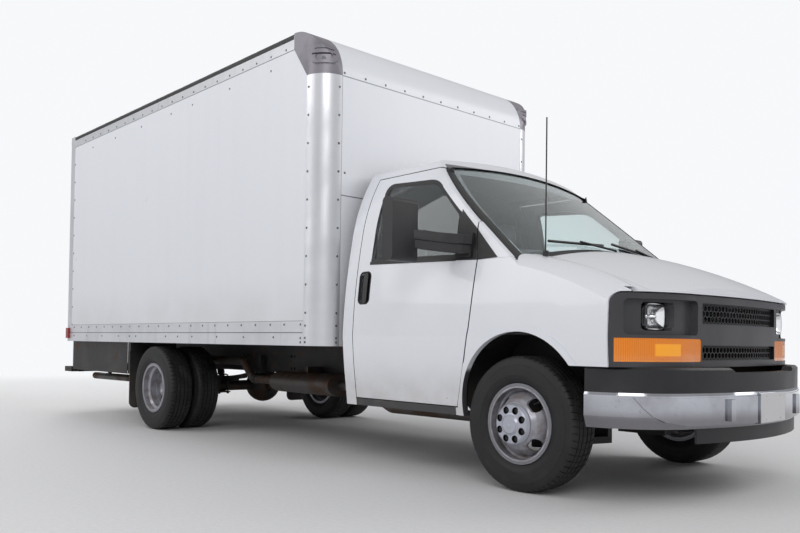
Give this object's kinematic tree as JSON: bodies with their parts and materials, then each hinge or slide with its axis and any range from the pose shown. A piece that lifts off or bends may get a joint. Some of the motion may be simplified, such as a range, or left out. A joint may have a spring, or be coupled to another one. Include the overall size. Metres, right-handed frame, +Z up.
{
  "type": "box truck",
  "caption": "White box truck: a van-type cab with a riveted, rounded-nose cargo body, twin rear wheels, roll-up rear door, long-arm mirrors and a rear step bumper.",
  "frame": {"origin": "on the ground under the middle of the overall length and width", "axes": "+X forward, +Y to the truck's left, +Z up"},
  "size_m": [7.34, 2.68, 2.993],
  "materials": {
    "body_white": "satin",
    "cab_white": "gloss",
    "rim_white": "satin",
    "aluminium": "satin",
    "chrome": "polished",
    "frame_black": "matt",
    "cast_iron": "rough",
    "exhaust_steel": "dull",
    "black_plastic": "matt",
    "grille_dark": "matt",
    "dash_grey": "matt",
    "floor_grey": "matt",
    "deck_wood": "worn",
    "seat_cloth": "woven",
    "flap_rubber": "matt",
    "tyre": "matt",
    "glass": "clear",
    "lamp_clear": "clear",
    "lamp_amber": "tinted",
    "lamp_red": "tinted"
  },
  "bodies": {
    "truck": {"antenna": "black_plastic", "body_lamps": "lamp_red", "box_floor": "deck_wood", "box_front_wall": "body_white", "box_roof": "aluminium", "box_sides": "body_white", "bumper_pad": "black_plastic", "cab_back_wall": "cab_white", "cab_floor": "floor_grey", "cab_roof": "cab_white", "cab_side_frames": "cab_white", "corner_caps": "body_white", "corner_posts": "aluminium", "cowl": "black_plastic", "dashboard": "dash_grey", "engine_block": "cast_iron", "exhaust": "exhaust_steel", "floor_sills": "frame_black", "frame_crossmembers": "frame_black", "frame_rails": "frame_black", "front_bumper": "chrome", "front_fenders": "cab_white", "front_suspension": "frame_black", "front_valance": "black_plastic", "fuel_tank": "frame_black", "grille": "grille_dark", "headlamps": "lamp_clear", "leaf_springs": "frame_black", "mudflaps": "flap_rubber", "nose_cap": "body_white", "propshaft": "frame_black", "rear_axle": "cast_iron", "rear_frame": "aluminium", "rear_skirts": "body_white", "rear_step_bumper": "frame_black", "rollup_door": "body_white", "seats": "seat_cloth", "side_rails": "aluminium", "steering_wheel": "black_plastic", "turn_lamps": "lamp_amber", "wheel_liners": "black_plastic", "windshield": "glass", "wipers": "black_plastic"},
    "knuckle_left": {"knuckle_left": "cast_iron"},
    "knuckle_right": {"knuckle_right": "cast_iron"},
    "wheel_front_left": {"rim_front_left": "rim_white", "tyre_front_left": "tyre"},
    "wheel_front_right": {"rim_front_right": "rim_white", "tyre_front_right": "tyre"},
    "wheel_rear_left": {"rims_rear_left": "rim_white", "tyres_rear_left": "tyre"},
    "wheel_rear_right": {"rims_rear_right": "rim_white", "tyres_rear_right": "tyre"},
    "door_left": {"door_left": "cab_white", "door_glass_left": "glass", "mirror_left": "black_plastic"},
    "door_right": {"door_right": "cab_white", "door_glass_right": "glass", "mirror_right": "black_plastic"},
    "hood": {"hood": "cab_white"}
  },
  "joints": [
    {"name": "steer_left", "type": "hinge", "parent": "truck", "child": "knuckle_left", "pos_m": [2.69, 0.78, 0.3715], "axis": [0, 0, 1], "range_deg": [-33, 33]},
    {"name": "steer_right", "type": "hinge", "parent": "truck", "child": "knuckle_right", "pos_m": [2.69, -0.78, 0.3715], "axis": [0, 0, 1], "range_deg": [-33, 33]},
    {"name": "spin_front_left", "type": "hinge", "parent": "knuckle_left", "child": "wheel_front_left", "pos_m": [2.69, 0.857, 0.3715], "axis": [0, 1, 0], "continuous": true},
    {"name": "spin_front_right", "type": "hinge", "parent": "knuckle_right", "child": "wheel_front_right", "pos_m": [2.69, -0.857, 0.3715], "axis": [0, 1, 0], "continuous": true},
    {"name": "spin_rear_left", "type": "hinge", "parent": "truck", "child": "wheel_rear_left", "pos_m": [-1.349, 0.923, 0.3715], "axis": [0, 1, 0], "continuous": true},
    {"name": "spin_rear_right", "type": "hinge", "parent": "truck", "child": "wheel_rear_right", "pos_m": [-1.349, -0.923, 0.3715], "axis": [0, 1, 0], "continuous": true},
    {"name": "door_left_hinge", "type": "hinge", "parent": "truck", "child": "door_left", "pos_m": [2.422, 0.965, 1], "axis": [0, 0, -1], "range_deg": [0, 70]},
    {"name": "door_right_hinge", "type": "hinge", "parent": "truck", "child": "door_right", "pos_m": [2.422, -0.965, 1], "axis": [0, 0, 1], "range_deg": [0, 70]},
    {"name": "hood_hinge", "type": "hinge", "parent": "truck", "child": "hood", "pos_m": [2.71, 0, 1.328], "axis": [0, -1, 0], "range_deg": [0, 45]}
  ],
  "couplings": [
    {"joint": "steer_right", "follows": "steer_left", "ratio": 1}
  ]
}
